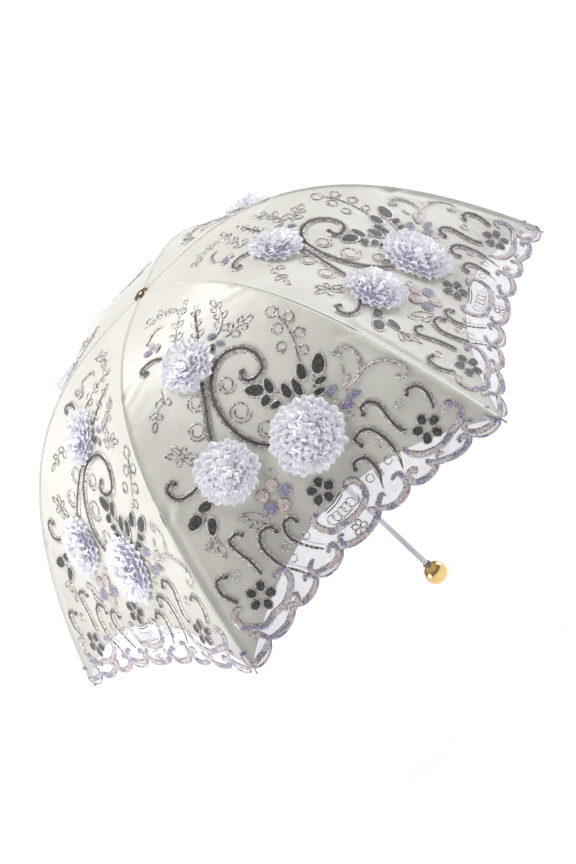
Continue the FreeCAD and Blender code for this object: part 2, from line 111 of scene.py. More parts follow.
def runAt(radius):
    return np.interp(radius, radii, runs)


def radiusAtHeight(height):
    # height above the rib tips
    return rimRadius * np.clip(1 - height / domeDepth, 0, 2) ** (1 / canopy["domePower"])


def archRadius(across):
    return radiusAtHeight(canopy["archRise"] * (1 - (across / halfRim) ** 2))


def lobeJoints():
    shares = canopy["lobeShares"]
    return [-halfRim * share for share in shares] + [halfRim * share for share in reversed(shares)]


def hemRadius(across):
    # scalloped lower edge: a shallow round lobe between each two joints
    joints = np.array(lobeJoints())
    heights = canopy["hemRise"] * (1 - (joints / halfRim) ** 2)
    lobe = np.clip(np.searchsorted(joints, across) - 1, 0, len(joints) - 2)
    share = np.clip((across - joints[lobe]) / (joints[lobe + 1] - joints[lobe]), 0, 1)
    chord = heights[lobe] * (1 - share) + heights[lobe + 1] * share
    drop = canopy["lobeDrop"] * np.clip(4 * share * (1 - share), 0, 1) ** 0.7
    return radiusAtHeight(chord - drop)


def bell(distance, reach):
    return np.exp(-(distance / reach) ** 2)


def overPanel(panel, flat):
    # flat is n rows of across, run, lift; gives the points on that panel of the dome
    across, run, lift = np.asarray(flat, float).T
    radius = np.interp(run, runs, radii)
    slope = np.interp(run, runs, slopes)
    toSeam = radius * sin(halfPanel) - np.abs(across)
    share = np.clip(np.abs(across) / np.maximum(radius * sin(halfPanel), 1e-6), 0, 1)
    grow = np.clip(radius / rimRadius, 0, 1)
    lift = lift - canopy["sag"] * grow * (1 - share ** 2)
    lift += canopy["seamRidge"] * bell(np.maximum(toSeam, 0), canopy["ridgeReach"])
    for knee in (canopy["topKnee"], canopy["outerKnee"]):
        near = bell(radius - knee, canopy["puckerAlong"])
        beside = bell(toSeam, canopy["puckerAside"])
        fold = np.cos((radius - knee) * 260 + toSeam * 120)    # fine folds that run aslant
        lift -= canopy["pucker"] * grow * near * beside * fold * (toSeam > canopy["boundEdge"])
    pleated = np.clip((radius - canopy["pleatStart"]) / 0.03, 0, 1)
    pleated *= np.clip((rimRadius - radius) / 0.04, 0, 1)
    for height, fromSeam, reach in canopy["pleats"]:
        lift += height * pleated * bell(toSeam - fromSeam, reach)
    waves = canopy["slack"] * grow * np.sin(across * 46 + panel) * np.sin(run * 31 + 2 * panel)
    lift += waves * (1 - share ** 4)
    stretch = np.sqrt(1 + slope ** 2)
    outward = radius * cos(halfPanel) - slope / stretch * lift
    height = domeHeight(radius) + lift / stretch
    turn = 2 * halfPanel * (panel - 0.5)
    return np.column_stack((outward * cos(turn) - across * sin(turn),
                            outward * sin(turn) + across * cos(turn), height))


sections = {
    "top": (canopy["seamHole"], canopy["topKnee"]),
    "middle": (canopy["topKnee"], canopy["outerKnee"]),
    "outer": (canopy["outerKnee"], rimRadius),
}


def panelsBeside(rib):
    # the panel after the rib is met on its negative side, the one before on its positive side
    return ((-1, rib), (1, (rib - 2) % canopy["ribs"] + 1))


def ridesOn(piece, rib, section):
    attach(piece, "%s_rib_%d" % (section, rib))
    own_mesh(piece)


def pieceFrom(shape, name, materials, smooth=True):
    mesh = bpy.data.meshes.new(name)
    shape.to_mesh(mesh)
    shape.free()
    for material in materials:
        mesh.materials.append(material)
    if smooth:
        mesh.shade_smooth()
    piece = bpy.data.objects.new(name, mesh)
    bpy.context.scene.collection.objects.link(piece)
    return piece


# materials

def newMaterial(name, colour, roughness, metallic=0.0, sockets=None):
    material = bpy.data.materials.new(name)
    material.use_nodes = True
    shader = material.node_tree.nodes["Principled BSDF"]
    shader.inputs["Base Color"].default_value = (*colour, 1)
    shader.inputs["Roughness"].default_value = roughness
    shader.inputs["Metallic"].default_value = metallic
    for socket, value in (sockets or {}).items():
        shader.inputs[socket].default_value = value
    return material, material.node_tree, shader


def addNode(tree, kind, values=None, **settings):
    node = tree.nodes.new("ShaderNode" + kind)
    for setting, value in settings.items():
        setattr(node, setting, value)
    for socket, value in (values or {}).items():
        node.inputs[socket].default_value = value
    return node


def coordinates(tree, uvMap=None, scale=(1, 1, 1), turn=0):
    if uvMap:
        source = addNode(tree, "UVMap", uv_map=uvMap).outputs["UV"]
    else:
        source = addNode(tree, "TexCoord").outputs["Object"]
    mapping = addNode(tree, "Mapping", {"Scale": scale, "Rotation": (0, 0, turn)})
    tree.links.new(source, mapping.inputs["Vector"])
    return mapping.outputs["Vector"]


def texture(tree, kind, vector, values, output, **settings):
    node = addNode(tree, kind, values, **settings)
    tree.links.new(vector, node.inputs["Vector"])
    return node.outputs[output]


def ramp(tree, source, stops):
    node = addNode(tree, "ValToRGB")
    marks = node.color_ramp.elements
    marks.remove(marks[1])
    marks[0].position, marks[0].color = stops[0][0], (*stops[0][1], 1)
    for place, colour in stops[1:]:
        marks.new(place).color = (*colour, 1)
    tree.links.new(source, node.inputs["Fac"])
    return node.outputs["Color"]


def colourBy(tree, shader, source, stops):
    tree.links.new(ramp(tree, source, stops), shader.inputs["Base Color"])


def levels(tree, source, low, high, toLow, toHigh):
    node = addNode(tree, "MapRange", {"From Min": low, "From Max": high, "To Min": toLow, "To Max": toHigh})
    tree.links.new(source, node.inputs["Value"])
    return node.outputs["Result"]


def addBump(tree, shader, height, strength, distance):
    bump = addNode(tree, "Bump", {"Strength": strength, "Distance": distance})
    tree.links.new(height, bump.inputs["Height"])
    before = shader.inputs["Normal"].links
    if before:
        tree.links.new(before[0].from_socket, bump.inputs["Normal"])
    tree.links.new(bump.outputs["Normal"], shader.inputs["Normal"])


def satinCloth():
    # the hem colour is painted shade, which darkens the satin down towards its hem
    look = {"light": (0.745, 0.735, 0.69), "deep": (0.65, 0.64, 0.59), "hem": (0.51, 0.495, 0.455),
            "threads": 390, "net": 520}
    material, tree, shader = newMaterial("coatedSatin", look["light"], 0.42, sockets={
        "Sheen Weight": 0.25, "Sheen Roughness": 0.45, "Specular IOR Level": 0.45})
    wide = texture(tree, "TexNoise", coordinates(tree), {"Scale": 7, "Detail": 3}, "Fac")
    cloth = coordinates(tree, "cloth")
    place = addNode(tree, "SeparateXYZ")
    tree.links.new(cloth, place.inputs["Vector"])
    shade = addNode(tree, "Math", operation="SUBTRACT")    # painted shade: the cloth is painted a little greyer towards the hem
    tree.links.new(wide, shade.inputs[0])
    tree.links.new(levels(tree, place.outputs["Y"], 0.28, 0.52, 0.0, 0.45), shade.inputs[1])
    colourBy(tree, shader, shade.outputs[0],
             [(0.0, look["hem"]), (0.32, look["deep"]), (0.65, look["light"])])
    warp = texture(tree, "TexWave", cloth,
                   {"Scale": look["threads"], "Distortion": 0.6, "Detail Scale": 30}, "Fac")
    weft = texture(tree, "TexWave", cloth, {"Scale": look["threads"] * 0.8, "Distortion": 0.6}, "Fac",
                   bands_direction="Y")
    net = texture(tree, "TexVoronoi", cloth, {"Scale": look["net"]}, "Distance", feature="DISTANCE_TO_EDGE")
    soft = texture(tree, "TexNoise", cloth, {"Scale": 26, "Detail": 2}, "Fac")
    addBump(tree, shader, soft, 0.5, 0.005)
    addBump(tree, shader, warp, 0.12, 0.0002)
    addBump(tree, shader, weft, 0.12, 0.0002)
    addBump(tree, shader, net, 0.2, 0.0003)
    tree.links.new(levels(tree, wide, 0.3, 0.7, 0.36, 0.46), shader.inputs["Roughness"])
    return material


def tulleNet():
    look = {"colour": (0.70, 0.69, 0.78), "shade": (0.62, 0.61, 0.71), "light": (0.77, 0.76, 0.84),
            "holes": 560}
    material, tree, shader = newMaterial("tulleNet", look["colour"], 0.75, sockets={"Sheen Weight": 0.3})
    cloth = coordinates(tree, "cloth")
    net = texture(tree, "TexVoronoi", cloth, {"Scale": look["holes"], "Randomness": 0.25}, "Distance",
                  feature="DISTANCE_TO_EDGE")
    tree.links.new(levels(tree, net, 0.05, 0.16, 0.95, 0.42), shader.inputs["Alpha"])
    tint = texture(tree, "TexNoise", coordinates(tree), {"Scale": 60, "Detail": 2}, "Fac")
    colourBy(tree, shader, tint, [(0.35, look["shade"]), (0.65, look["light"])])
    return material


def threadFinish(name, colours, roughness=0.5, stitch=230, speck=420, sheen=0.3, metallic=0.0, slant=0.5):
    # satin stitch: fine threads lying across the stroke, with the colour broken up a little
    material, tree, shader = newMaterial(name, colours[1], roughness, metallic, {"Sheen Weight": sheen})
    cloth = coordinates(tree, "cloth", turn=slant)
    threads = texture(tree, "TexWave", cloth, {"Scale": stitch, "Distortion": 1.2, "Detail": 1}, "Fac")
    speckle = texture(tree, "TexNoise", coordinates(tree), {"Scale": speck, "Detail": 2}, "Fac")
    mix = addNode(tree, "Math", {1: 0.35}, operation="MULTIPLY_ADD")
    tree.links.new(threads, mix.inputs[0])
    tree.links.new(levels(tree, speckle, 0.3, 0.7, 0.0, 0.65), mix.inputs[2])
    colourBy(tree, shader, mix.outputs[0], list(zip((0.15, 0.5, 0.85), colours)))
    addBump(tree, shader, threads, 0.6, 0.0004)
    return material


def glitterFinish(name, dark, pink, silver, grains=680):
    # twisted metallic yarn: each grain takes its own tint
    material, tree, shader = newMaterial(name, pink, 0.38, 0.25, {"Specular IOR Level": 0.6})
    grain = texture(tree, "TexVoronoi", coordinates(tree), {"Scale": grains}, "Color")
    split = addNode(tree, "SeparateColor")
    tree.links.new(grain, split.inputs["Color"])
    colourBy(tree, shader, split.outputs["Red"], [(0.22, dark), (0.38, pink), (0.62, pink), (0.80, silver)])
    addBump(tree, shader, split.outputs["Green"], 0.8, 0.0005)
    return material


def ribbonFinish():
    # the root colour is painted shade: each petal is painted darker towards its root, where the petals
    # overlap
    look = {"tip": (0.96, 0.96, 0.985), "middle": (0.77, 0.77, 0.87), "root": (0.28, 0.28, 0.41)}
    # the faint emission is painted light: the ribbon glows a little in place of light shining through it
    material, tree, shader = newMaterial("crimpedRibbon", look["tip"], 0.72, sockets={
        "Sheen Weight": 0.35, "Sheen Roughness": 0.4,
        "Emission Color": (0.95, 0.95, 1, 1), "Emission Strength": 0.10})
    petal = coordinates(tree, "cloth")
    split = addNode(tree, "SeparateXYZ")
    tree.links.new(petal, split.inputs["Vector"])
    crimp = texture(tree, "TexNoise", coordinates(tree), {"Scale": 170, "Detail": 2}, "Fac")
    mix = addNode(tree, "Math", operation="ADD")
    tree.links.new(split.outputs["X"], mix.inputs[0])
    tree.links.new(levels(tree, crimp, 0.3, 0.7, -0.1, 0.1), mix.inputs[1])
    # painted shade at the petal roots, the ribbon's own pale colour at the tips
    colourBy(tree, shader, mix.outputs[0],
             [(0.22, look["root"]), (0.50, look["middle"]), (0.76, look["tip"])])
    weave = texture(tree, "TexWave", petal, {"Scale": 5, "Distortion": 2.5}, "Fac", bands_direction="Y")
    addBump(tree, shader, crimp, 0.35, 0.0010)
    addBump(tree, shader, weave, 0.18, 0.0006)
    return material


def metalFinish(name, colour, worn, roughness, grain=140, stretch=(1, 1, 0.08), bump=0.05):
    material, tree, shader = newMaterial(name, colour, roughness, 1.0)
    brushed = texture(tree, "TexNoise", coordinates(tree, scale=stretch), {"Scale": grain, "Detail": 4},
                      "Fac")
    colourBy(tree, shader, brushed, [(0.35, worn), (0.6, colour)])
    tree.links.new(levels(tree, brushed, 0.3, 0.7, roughness * 1.35, roughness * 0.8),
                   shader.inputs["Roughness"])
    addBump(tree, shader, brushed, bump, 0.0003)
    return material


def plasticFinish(name, colour, roughness):
    material, tree, shader = newMaterial(name, colour, roughness)
    mould = texture(tree, "TexNoise", coordinates(tree), {"Scale": 900, "Detail": 2}, "Fac")
    cloud = texture(tree, "TexNoise", coordinates(tree), {"Scale": 60, "Detail": 2}, "Fac")
    colourBy(tree, shader, cloud, [(0.3, tuple(part * 0.9 for part in colour)), (0.7, colour)])
    addBump(tree, shader, mould, 0.15, 0.0002)
    return material


satin = satinCloth()
tulle = tulleNet()
ribbon = ribbonFinish()
seamBinding = threadFinish("seamBinding", [(0.66, 0.66, 0.62), (0.76, 0.76, 0.71), (0.82, 0.82, 0.77)],
                           stitch=260)
threads = {
    "dark": threadFinish("darkCord", [(0.030, 0.028, 0.027), (0.070, 0.064, 0.061), (0.15, 0.14, 0.135)],
                         roughness=0.55, sheen=0.15),
    "glitter": glitterFinish("glitterYarn", (0.18, 0.15, 0.15), (0.46, 0.39, 0.38), (0.80, 0.76, 0.77)),
    "leaf": threadFinish("leafSatin", [(0.020, 0.022, 0.021), (0.045, 0.047, 0.044), (0.15, 0.15, 0.145)],
                         stitch=110, roughness=0.45, sheen=0.1, slant=0.12),
    "pink": threadFinish("pinkSatin", [(0.36, 0.27, 0.27), (0.60, 0.49, 0.475), (0.84, 0.77, 0.76)]),
    "purple": threadFinish("purpleSatin", [(0.12, 0.11, 0.21), (0.25, 0.235, 0.38), (0.52, 0.51, 0.65)]),
    "grey": threadFinish("greySatin", [(0.32, 0.31, 0.38), (0.52, 0.50, 0.57), (0.78, 0.76, 0.81)]),
    "fine": glitterFinish("fineYarn", (0.15, 0.125, 0.12), (0.44, 0.39, 0.38), (0.86, 0.83, 0.83), 560),
    "pale": glitterFinish("paleYarn", (0.36, 0.31, 0.31), (0.66, 0.59, 0.58), (0.92, 0.89, 0.89), 640),
}
tones = list(threads) + ["seam"]
threadMaterials = list(threads.values()) + [seamBinding]
print("materials made")

frameFinishes = {
    "polished_gold": metalFinish("polishedGold", (0.90, 0.66, 0.32), (0.74, 0.47, 0.19), 0.10, 30, (1, 1, 1),
                                 0.02),
    "aged_bronze": metalFinish("agedBronze", (0.42, 0.27, 0.16), (0.15, 0.095, 0.085), 0.24, 160, (1, 1, 1)),
    "dark_metal": metalFinish("darkMetal", (0.16, 0.14, 0.12), (0.30, 0.24, 0.15), 0.32),
    "plated_tube": metalFinish("platedTube", (0.56, 0.58, 0.62), (0.40, 0.42, 0.46), 0.22, 220),
    "pale_plastic": plasticFinish("palePlastic", (0.70, 0.70, 0.68), 0.4),
    "rib_steel": metalFinish("ribSteel", (0.72, 0.73, 0.75), (0.55, 0.56, 0.58), 0.30, 160),
    "rib_wire": metalFinish("ribWire", (0.60, 0.60, 0.62), (0.42, 0.42, 0.44), 0.34, 240),
    "plated_tip": metalFinish("platedTip", (0.66, 0.65, 0.64), (0.42, 0.40, 0.38), 0.22, 200),
}
nodeFinishes = {
    "handle_ball": "polished_gold", "handle_collar": "dark_metal", "tube": "plated_tube",
    "notch": "pale_plastic", "runner": "pale_plastic", "runner_catch": "rib_steel", "top_cap": "aged_bronze",
    "top_rib": "rib_steel", "stretcher": "rib_steel", "middle_rib": "rib_steel", "outer_rib": "rib_wire",
    "rib_tip": "plated_tip",
}
for name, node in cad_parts.items():
    known = [start for start in nodeFinishes if name.startswith(start)]
    if known:
        finish = nodeFinishes[max(known, key=len)]
        node.data.materials.clear()
        node.data.materials.append(frameFinishes[finish])
print("frame finished")


# coated satin, three sections to a rib, each half a panel wide on both sides

clothCells = {"top": (24, 46), "middle": (34, 36), "outer": (44, 34), "tulle": (90, 14)}
tulleOverlap = 0.0006    # the tulle starts this far under the arch and lies this far off the cloth


def shapeGrid(shape, columns, rows, place):
    # a grid whose points are put where place says, from shares along and across it
    grid = bmesh.ops.create_grid(shape, x_segments=columns, y_segments=rows, size=1)["verts"]
    where = np.array([vert.co for vert in grid])
    points, cloth = place((where[:, 0] + 1) / 2, (where[:, 1] + 1) / 2)
    marks = dict(zip(grid, cloth))
    uvLayer = shape.loops.layers.uv.verify()
    for face in {face for vert in grid for face in vert.link_faces}:
        for loop in face.loops:
            loop[uvLayer].uv = marks[loop.vert]
    for vert, point in zip(grid, points):
        vert.co = point
    return grid, cloth


def flatArea(cloth, columns, rows):
    corner = cloth.reshape(rows + 1, columns + 1, 2)
    first = corner[1:, 1:] - corner[:-1, :-1]
    second = corner[1:, :-1] - corner[:-1, 1:]
    return float(np.abs(first[..., 0] * second[..., 1] - first[..., 1] * second[..., 0]).sum() / 2)


def clothPiece(rib, name, startRadius, endRadius, cells, material, lift=0.0):
    # startRadius and endRadius give a radius from the place across; they may curve
    shape = bmesh.new()
    shape.loops.layers.uv.new("cloth")
    area = 0
    for side, panel in panelsBeside(rib):
        def place(fromSeam, down):
            inward = fromSeam ** 1.35    # finer cells beside the seam
            radius = startRadius(0 * inward) + (endRadius(0 * inward) - startRadius(0 * inward)) * down
            for _ in range(6):           # across and radius settle together where an edge curves
                across = side * radius / 2 * (1 - inward)
                low, high = startRadius(across), endRadius(across)
                radius = low + (high - low) * down
            flat = np.column_stack((side * radius / 2 * (1 - inward), runAt(radius), 0 * radius + lift))
            return overPanel(panel, flat), flat[:, :2]
        cloth = shapeGrid(shape, *cells, place)[1]
        area += flatArea(cloth, *cells)
    bmesh.ops.remove_doubles(shape, verts=shape.verts, dist=0.00002)
    bmesh.ops.recalc_face_normals(shape, faces=shape.faces)
    inside = Vector((0, 0, domeTop - domeDepth))
    if sum(face.normal.dot(face.calc_center_median() - inside) for face in shape.faces) < 0:
        bmesh.ops.reverse_faces(shape, faces=shape.faces)
    return pieceFrom(shape, name, [material]), area


def evenEdge(radius):
    return lambda across: 0 * across + radius


def tulleEdge(across):
    return archRadius(across) - tulleOverlap


clothPieces = {}
for rib in range(1, canopy["ribs"] + 1):
    for section, (start, end) in sections.items():
        lowerEdge = archRadius if section == "outer" else evenEdge(end)
        cloth, area = clothPiece(rib, "satin_%s_%d" % (section, rib), evenEdge(start), lowerEdge,
                                 clothCells[section], satin)
        clothPieces[rib, section] = (cloth, area, (end, float(runAt(end) - runAt(start))))
    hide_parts("canopy_panel_%d" % rib)
print("satin laid")

tullePieces = {}
for rib in range(1, canopy["ribs"] + 1):
    net, area = clothPiece(rib, "tulle_%d" % rib, tulleEdge, hemRadius, clothCells["tulle"], tulle,
                           lift=tulleOverlap)
    tullePieces[rib] = (net, area, (rimRadius, float(runAt(hemRadius(0.0)) - runAt(tulleEdge(0.0)))))
    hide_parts("lace_border_%d" % rib)
print("tulle hung")


# embroidery, drawn flat on one panel in millimetres: place across, radius along the rib

def lay(points):
    # the same places in metres, across and down the flat cloth
    return [(across / 1000, float(runAt(radius / 1000))) for across, radius in points]


def smoothPath(points, step):
    knots = [Vector((*point, 0)) for point in points]
    path = []
    for i, (start, end) in enumerate(zip(knots, knots[1:])):
        before, after = knots[max(i - 1, 0)], knots[min(i + 2, len(knots) - 1)]
        count = max(2, round((end - start).length / step) + 1)
        path += interpolate_bezier(start, start + (end - before) / 6, end - (after - start) / 6, end,
                                   count)[:-1]
    return path + [knots[-1]]


def headingAt(path, index):
    return path[min(index + 1, len(path) - 1)] - path[max(index - 1, 0)]


def stroke(art, points, width, height, tone, edge=None, across=6, step=0.0028, slim=0.4, laid=False):
    # a raised row of stitches along a smooth line; tone may be several, taken in turn along it
    path = smoothPath(points if laid else lay(points), step)
    last = len(path) - 1
    travelled = [0.0]
    for before, after in zip(path, path[1:]):
        travelled.append(travelled[-1] + (after - before).length)
    toneList = tone if isinstance(tone, (list, tuple)) else [tone]
    uvLayer = art.loops.layers.uv.verify()
    grid = bmesh.ops.create_grid(art, x_segments=last, y_segments=across, size=1)["verts"]
    for face in {face for vert in grid for face in vert.link_faces}:
        middle = face.calc_center_median()
        fill = toneList[min(int((middle.x + 1) / 2 * len(toneList)), len(toneList) - 1)]
        face.material_index = tones.index(edge if edge and abs(middle.y) > 0.45 else fill)
        for loop in face.loops:
            along = travelled[round((loop.vert.co.x + 1) / 2 * last)]
            loop[uvLayer].uv = (along, loop.vert.co.y * width / 2)
    for vert in grid:
        index = round((vert.co.x + 1) / 2 * last)
        side = vert.co.y
        ahead = headingAt(path, index).normalized()
        fromEnd = min(travelled[index], travelled[-1] - travelled[index])
        fullness = slim + (1 - slim) * min(1, fromEnd / (1.6 * width)) ** 0.7
        if index in (0, last):
            fullness *= 0.45
        half = width / 2 * fullness
        spot = path[index]
        vert.co = (spot.x - ahead.y * side * half, spot.y + ahead.x * side * half,
                   0.0004 + height * fullness * sqrt(max(0, 1 - side * side)))


def leaf(art, centre, length, width, turn, tone, edge="glitter", point=0.35, height=0.0013):
    # a domed satin-stitch leaf with a corded outline; turn is its heading, in degrees from straight across
    middleAcross, middleRun = lay([centre])[0]
    uvLayer = art.loops.layers.uv.verify()
    grid = bmesh.ops.create_grid(art, x_segments=10, y_segments=10, size=1)["verts"]
    angle = radians(turn)
    places = {}
    for vert in grid:
        x, y = vert.co.x, vert.co.y
        reach = max(abs(x), abs(y))
        ring = reach / max(sqrt(x * x + y * y), 1e-6) * (1.03 if reach < 0.9 else 1)
        along, aside = x * ring, y * ring * (1 - point * (x * ring + 1) / 2)
        places[vert] = (along * length / 2000, aside * width / 2000, sqrt(max(0, 1 - (reach * 0.98) ** 2)))
    for face in {face for vert in grid for face in vert.link_faces}:
        middle = face.calc_center_median()
        outer = max(abs(middle.x), abs(middle.y)) > 0.89
        face.material_index = tones.index(edge if edge and outer else tone)
        for loop in face.loops:
            along, aside, _ = places[loop.vert]
            loop[uvLayer].uv = (aside, along)
    for vert in grid:
        along, aside, dome = places[vert]
        vert.co = (middleAcross + along * cos(angle) - aside * sin(angle),
                   middleRun + along * sin(angle) + aside * cos(angle), 0.0005 + height * dome ** 0.6)


def fivePetals(art, centre, reach, length, width, toneList, turn=0):
    middleRun = lay([centre])[0][1]
    for i, tone in enumerate(toneList):
        angle = turn + i * 360 / len(toneList)
        across = centre[0] + reach * cos(radians(angle))
        run = middleRun + reach / 1000 * sin(radians(angle))
        radius = float(np.interp(run, runs, radii)) * 1000
        leaf(art, (across, radius), length, width, angle, tone, point=-0.2)


def loopAt(art, start, turn, length, width):
    # a small open loop of thread that starts and ends at one point, given in metres on the flat cloth
    angle = radians(turn)
    outline = [(0, 0), (0.35, 0.42), (0.8, 0.4), (1.0, 0.0), (0.8, -0.4), (0.35, -0.42), (0, 0)]
    path = [(start[0] + (ahead * length * cos(angle) - aside * width * sin(angle)) / 1000,
             start[1] + (ahead * length * sin(angle) + aside * width * cos(angle)) / 1000)
            for ahead, aside in outline]
    stroke(art, path, 0.0021, 0.0007, "fine", across=2, step=0.0024, laid=True, slim=0.8)


def leafLoop(art, root, tip, width):
    # a long open loop from root to tip
    start, end = lay([root, tip])
    reach = sqrt((end[0] - start[0]) ** 2 + (end[1] - start[1]) ** 2)
    turn = np.degrees(np.arctan2(end[1] - start[1], end[0] - start[0]))
    loopAt(art, start, turn, reach * 1000, width * 1.4)


def ringAt(art, centre, radius, tone="fine", turns=1.0, inner=1.0, start=0, width=0.0016):
    # a ring of thread, or a curl where it has more turns and a smaller inner end
    middleAcross, middleRun = lay([centre])[0]
    count = max(6, round(8 * turns))
    path = []
    for i in range(count + 1):
        share = i / count
        angle = radians(start) + 2 * pi * turns * share
        reach = radius / 1000 * (1 + (inner - 1) * share)
        path.append((middleAcross + reach * cos(angle), middleRun + reach * sin(angle)))
    stroke(art, path, width, 0.0006, tone, across=2, step=0.0026, laid=True, slim=0.8)


def sprig(art, stem, pairs, size, stemTone="fine", width=1.6):
    # a stem with pairs of open loops along it and one at its tip
    path = smoothPath(lay(stem), 0.002)
    stroke(art, [(spot.x, spot.y) for spot in path[::3] + path[-1:]], width / 1000, 0.0007, stemTone,
           across=2, laid=True, slim=0.8)
    for i in range(pairs):
        index = int((i + 0.6) / pairs * (len(path) - 1))
        ahead = headingAt(path, index)
        heading = np.degrees(np.arctan2(ahead.y, ahead.x))
        small = size * (1 - 0.3 * i / pairs)
        for turn in (48, -48):
            loopAt(art, (path[index].x, path[index].y), heading + turn, small, small * 0.62)
    ahead = path[-1] - path[-3]
    loopAt(art, (path[-1].x, path[-1].y), np.degrees(np.arctan2(ahead.y, ahead.x)), size * 1.1, size * 0.5)


def pipedCord(art, line, width, tone="dark", yarn="glitter"):
    # the cord starts at its hooked end, with a small knot, and has a thinner yarn down each side
    stroke(art, line, width / 1000, 0.0018, tone, edge=yarn, across=8, slim=0.62)
    leaf(art, line[0], width * 1.15, width, 0, tone, edge=yarn, point=0, height=0.0019)
    path = smoothPath(lay(line), 0.0028)
    for side in (-1, 1):
        away = side * width * 0.00056    # the yarn's middle is just outside the cord's edge
        beside = []
        for index, spot in enumerate(path):
            ahead = headingAt(path, index).normalized()
            beside.append((spot.x - ahead.y * away, spot.y + ahead.x * away))
        stroke(art, beside, 0.0019, 0.0013, "pale", across=2, laid=True, slim=0.8)


cordScrolls = {
    # width, line from the hooked end
    "bigScroll": (8.0, [
        (31, 279), (26, 284), (31, 290), (43, 292), (54, 288), (58, 277), (54, 265), (45, 257), (30, 252),
        (14, 254), (-1, 261), (-13, 273), (-21, 287), (-25, 303), (-24, 317), (-17, 329), (-7, 338)]),
    "secondStem": (7.5, [
        (-15, 259), (-25, 272), (-36, 284), (-46, 295), (-55, 306)]),
    "topHook": (6.0, [
        (-55, 193), (-60, 191), (-59, 185), (-48, 183), (-36, 188), (-25, 200)]),
    "sideHook": (6.5, [
        (-121, 307), (-125, 304), (-133, 307), (-134, 314), (-126, 320), (-109, 322), (-90, 322)]),
    "leftHook1": (6.0, [
        (-106, 366), (-112, 363), (-123, 364), (-123, 372), (-121, 380), (-122, 390)]),
    "leftHook2": (6.0, [
        (-74, 379), (-75, 375), (-88, 373), (-99, 379), (-100, 388), (-97, 396)]),
    "leftHook3": (6.0, [
        (-48, 383), (-51, 379), (-61, 379), (-68, 385), (-65, 392)]),
    "leftHook4": (6.0, [
        (-155, 377), (-161, 375), (-169, 376), (-173, 383), (-166, 392)]),
    "rightHook1": (6.0, [
        (151, 377), (157, 375), (167, 378), (169, 385), (162, 393)]),
    "rightHook2": (6.5, [
        (98, 367), (102, 363), (113, 364), (119, 370), (116, 380), (116, 387), (121, 391)]),
    "rightHook3": (6.5, [
        (70, 379), (70, 374), (82, 373), (92, 377), (96, 387), (94, 395)]),
    "rightHook4": (6.5, [
        (45, 386), (49, 383), (59, 384), (64, 387), (64, 393), (60, 399)]),
}
silverScrolls = {
    "leftV": [(128, 328), (126, 326), (124, 323), (130, 322), (139, 326), (143, 332), (142, 339), (135, 345),
              (126, 348), (116, 348), (105, 348)],
    "rightV": [(116, 347), (133, 346), (141, 347), (152, 349), (162, 353), (169, 358), (173, 364), (170, 368),
               (164, 369), (159, 367), (160, 364)],
}
leaves = [
    ((26, 299), 25, 18, 225), ((42, 305), 21, 13, 290), ((53, 318), 21, 13, 285), ((65, 322), 24, 12, 285),
    ((82, 316), 21, 15, 300), ((103, 321), 26, 19, 320), ((91, 331), 16, 10, 20), ((81, 336), 15, 10, 20),
    ((27, 312), 15, 14, 160), ((32, 320), 14, 10, 190), ((34, 327), 15, 11, 200),
    ((-114, 336), 19, 15, 190), ((-136, 339), 22, 18, 170), ((-124, 349), 23, 14, 130),
]
darkBlossoms = [((-141, 398), 12, 95), ((140, 398), 12, 65), ((-2, 381), 11, 80)]
coloured = {
    # place, length, width, heading, thread
    "petals": [((91, 342), 18, 15, 0, "purple"), ((93, 356), 17, 14, 40, "purple"),
               ((84, 350), 12, 10, 0, "pink"), ((107, 354), 20, 12, 20, "purple"),
               ((111, 345), 21, 10, 330, "pink"),
               ((118, 336), 13, 6, 300, "pink"), ((34, 225), 13, 10, 30, "purple"),
               ((36, 239), 13, 9, 60, "purple"), ((26, 236), 12, 8, 120, "leaf")],
    "topBud": [((-38, 168), 13, 10, 30, "purple"), ((-25, 173), 13, 10, 140, "pink"),
               ((-29, 162), 13, 10, 250, "grey")],
}
leafStems = [[(24, 303), (36, 310), (46, 318), (52, 328)], [(97, 322), (88, 325), (80, 331), (66, 340)],
             [(42, 309), (46, 315)], [(66, 328), (60, 334), (52, 338)],
             [(-118, 338), (-126, 343), (-124, 352)]]
twigs = {
    # stem, pairs of loops, loop length, then the stem's thread and width where they aren't fine
    "aboveBlossoms": [([(-8, 194), (3, 180), (12, 168), (22, 158), (30, 152)], 3, 13),
                      ([(18, 216), (26, 202), (33, 188), (40, 177)], 3, 11, "dark", 3.4),
                      ([(40, 228), (52, 222), (60, 211), (62, 198)], 3, 13, "glitter", 4.5),
                      ([(45, 238), (61, 239), (72, 241)], 2, 14, "glitter", 3.2)],
    "nearTop": ([(-22, 118), (-8, 114), (6, 120), (16, 132)], 3, 11, "glitter", 3.4),
    "leftOfBlossom": ([(-55, 226), (-62, 238), (-75, 242), (-86, 250)], 2, 13),
    "topArc": [(-34, 153), (-23, 145), (-12, 141), (-2, 147)],
    "curlStem": [(109, 262), (107, 280), (98, 298), (86, 312)],
}
curls = {
    # centre, radius, and where the thread starts
    "besideStem": [((107, 256), 9, 0), ((118, 274), 8, 60), ((97, 274), 8, 200), ((113, 291), 7.5, 0),
                   ((86, 289), 7.5, 90), ((102, 305), 7, 150)],
    "insideScroll": [((-36, 267), 12), ((-4, 303), 15), ((7, 277), 12), ((4, 327), 12), ((-58, 288), 13)],
    "besideHooks": [(-92, 360), (-146, 380), (-80, 389), (136, 378), (84, 362), (88, 386), (60, 362),
                    (-30, 352)],
}
looseLoops = [
    # root, tips, width
    ((-92, 294), [(-107, 284), (-92, 282), (-81, 290), (-78, 304), (-90, 306), (-104, 298)], 5),
    ((-130, 354), [(-150, 357), (-143, 362), (-139, 369)], 5),
    ((-70, 372), [(-88, 358)], 7),
    ((-74, 374), [(-92, 366)], 6),
]
